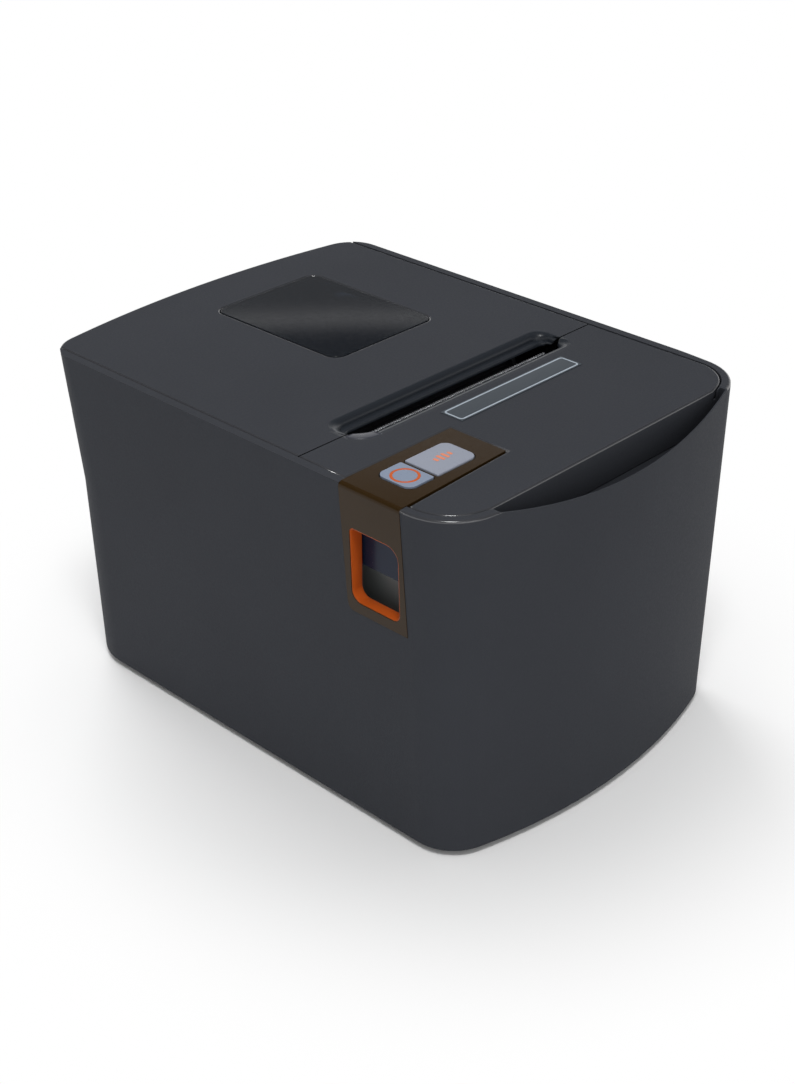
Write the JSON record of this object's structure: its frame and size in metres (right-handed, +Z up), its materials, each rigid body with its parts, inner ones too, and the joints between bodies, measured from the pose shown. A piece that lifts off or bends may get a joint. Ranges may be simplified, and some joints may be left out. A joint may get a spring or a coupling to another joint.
{
  "type": "receipt printer",
  "caption": "Desktop receipt printer with a hinged roll lid and window, hinged front cover, paper slot with tear bar, side release lever and two push buttons.",
  "frame": {"origin": "middle of the footprint, on the surface the feet stand on", "axes": "-Y points to the front, X runs across, +Z is up"},
  "size_m": [0.1452, 0.1976, 0.122],
  "materials": {
    "case": "fine satin moulded texture",
    "inner": "satin moulded plastic",
    "strip": "glossy film",
    "orange": "satin moulded plastic",
    "button": "satin painted keycap",
    "lens": "glossy smoked plastic",
    "label": "printed film",
    "steel": "rolled sheet",
    "pin_steel": "turned",
    "rubber": "ground rubber",
    "white_plastic": "acetal, satin",
    "ceramic": "glazed ceramic",
    "aluminium": "extruded",
    "board": "solder mask",
    "black_plastic": "moulded",
    "cable": "flat ribbon",
    "lever": "glossy moulded"
  },
  "bodies": {
    "root": {"main_case": "case", "base_cover": "inner", "rubber_feet": "rubber", "case_screws": "pin_steel", "paper_bin": "inner", "paper_sensor": "black_plastic", "lid_hinge_pins": "pin_steel", "cover_hinge_pins": "pin_steel", "control_strip": "strip", "lever_bezel": "orange", "lever_wall": "inner", "lever_spring": "pin_steel", "button_pod": "inner", "panel_board": "board", "button_switches": "steel", "head_springs": "pin_steel", "mech_frame": "steel", "frame_screws": "pin_steel", "feed_motor": "steel", "idler_stud": "pin_steel", "cutter_frame": "steel", "cutter_gear_pin": "pin_steel", "cutter_motor": "steel", "main_board": "board", "board_chips": "black_plastic", "board_screws": "pin_steel", "power_jack": "black_plastic", "usb_port": "steel", "lan_port": "steel", "drawer_port": "black_plastic", "head_cable": "cable", "buzzer": "black_plastic"},
    "lid": {"paper_lid": "case", "lid_window": "lens", "platen_carrier": "inner", "platen_bushes": "white_plastic", "fixed_blade": "steel"},
    "platen": {"platen_shaft": "pin_steel", "platen_roller": "rubber", "platen_gear": "white_plastic"},
    "cover": {"front_cover": "case", "tear_bar": "steel", "slot_label": "label"},
    "release": {"release_lever": "lever", "latch_shaft": "pin_steel", "latch_hooks": "steel"},
    "power": {"power_button": "button", "power_ring": "orange"},
    "feed": {"feed_button": "button"},
    "head": {"print_head": "ceramic", "head_heatsink": "aluminium"},
    "idler": {"idler_gear": "white_plastic"},
    "feed_pinion": {"motor_pinion": "pin_steel"},
    "blade": {"moving_blade": "steel", "blade_carriage": "white_plastic"},
    "gear": {"cutter_gear": "white_plastic"},
    "pinion": {"cutter_pinion": "pin_steel"}
  },
  "joints": [
    {"name": "lid_hinge", "type": "hinge", "parent": "root", "child": "lid", "pos_m": [0, 0.0815, 0.111], "axis": [-1, 0, 0], "range_deg": [0, 65]},
    {"name": "platen_spin", "type": "hinge", "parent": "lid", "child": "platen", "pos_m": [0, -0.016, 0.097], "axis": [1, 0, 0], "continuous": true},
    {"name": "cover_hinge", "type": "hinge", "parent": "root", "child": "cover", "pos_m": [0, -0.031, 0.115], "axis": [-1, 0, 0], "range_deg": [0, 55]},
    {"name": "release_turn", "type": "hinge", "parent": "root", "child": "release", "pos_m": [0, -0.027, 0.079], "axis": [1, 0, 0], "range_deg": [0, 15], "stiffness_Nm_per_rad": 0.1, "springref_deg": -28.65},
    {"name": "power_press", "type": "slide", "parent": "root", "child": "power", "axis": [0, 0, -1], "range_m": [0, 0.0008], "stiffness_N_per_m": 400, "springref_m": -0.001},
    {"name": "feed_press", "type": "slide", "parent": "root", "child": "feed", "axis": [0, 0, -1], "range_m": [0, 0.0008], "stiffness_N_per_m": 400, "springref_m": -0.001},
    {"name": "head_press", "type": "slide", "parent": "root", "child": "head", "axis": [0, -1, 0], "range_m": [0, 0.0005], "stiffness_N_per_m": 4000, "springref_m": -0.002},
    {"name": "idler_spin", "type": "hinge", "parent": "root", "child": "idler", "pos_m": [0, -0.01282, 0.07483], "axis": [1, 0, 0], "continuous": true},
    {"name": "feed_motor_spin", "type": "hinge", "parent": "root", "child": "feed_pinion", "pos_m": [0, -0.02612, 0.05989], "axis": [1, 0, 0], "continuous": true},
    {"name": "blade_slide", "type": "slide", "parent": "root", "child": "blade", "axis": [0, 1, 0], "range_m": [0, 0.0045]},
    {"name": "cutter_gear_turn", "type": "hinge", "parent": "root", "child": "gear", "pos_m": [0.018, -0.066, 0.106], "axis": [0, 0, 1], "range_deg": [-45, 0]},
    {"name": "cutter_motor_turn", "type": "hinge", "parent": "root", "child": "pinion", "pos_m": [0.03194, -0.05795, 0.1], "axis": [0, 0, 1], "range_deg": [0, 160]}
  ],
  "couplings": [
    {"joint": "idler_spin", "follows": "platen_spin", "ratio": -0.55556},
    {"joint": "feed_motor_spin", "follows": "platen_spin", "ratio": 1.4286},
    {"joint": "cutter_gear_turn", "follows": "blade_slide", "rad_per_m": -166.67},
    {"joint": "cutter_motor_turn", "follows": "blade_slide", "rad_per_m": 600}
  ]
}
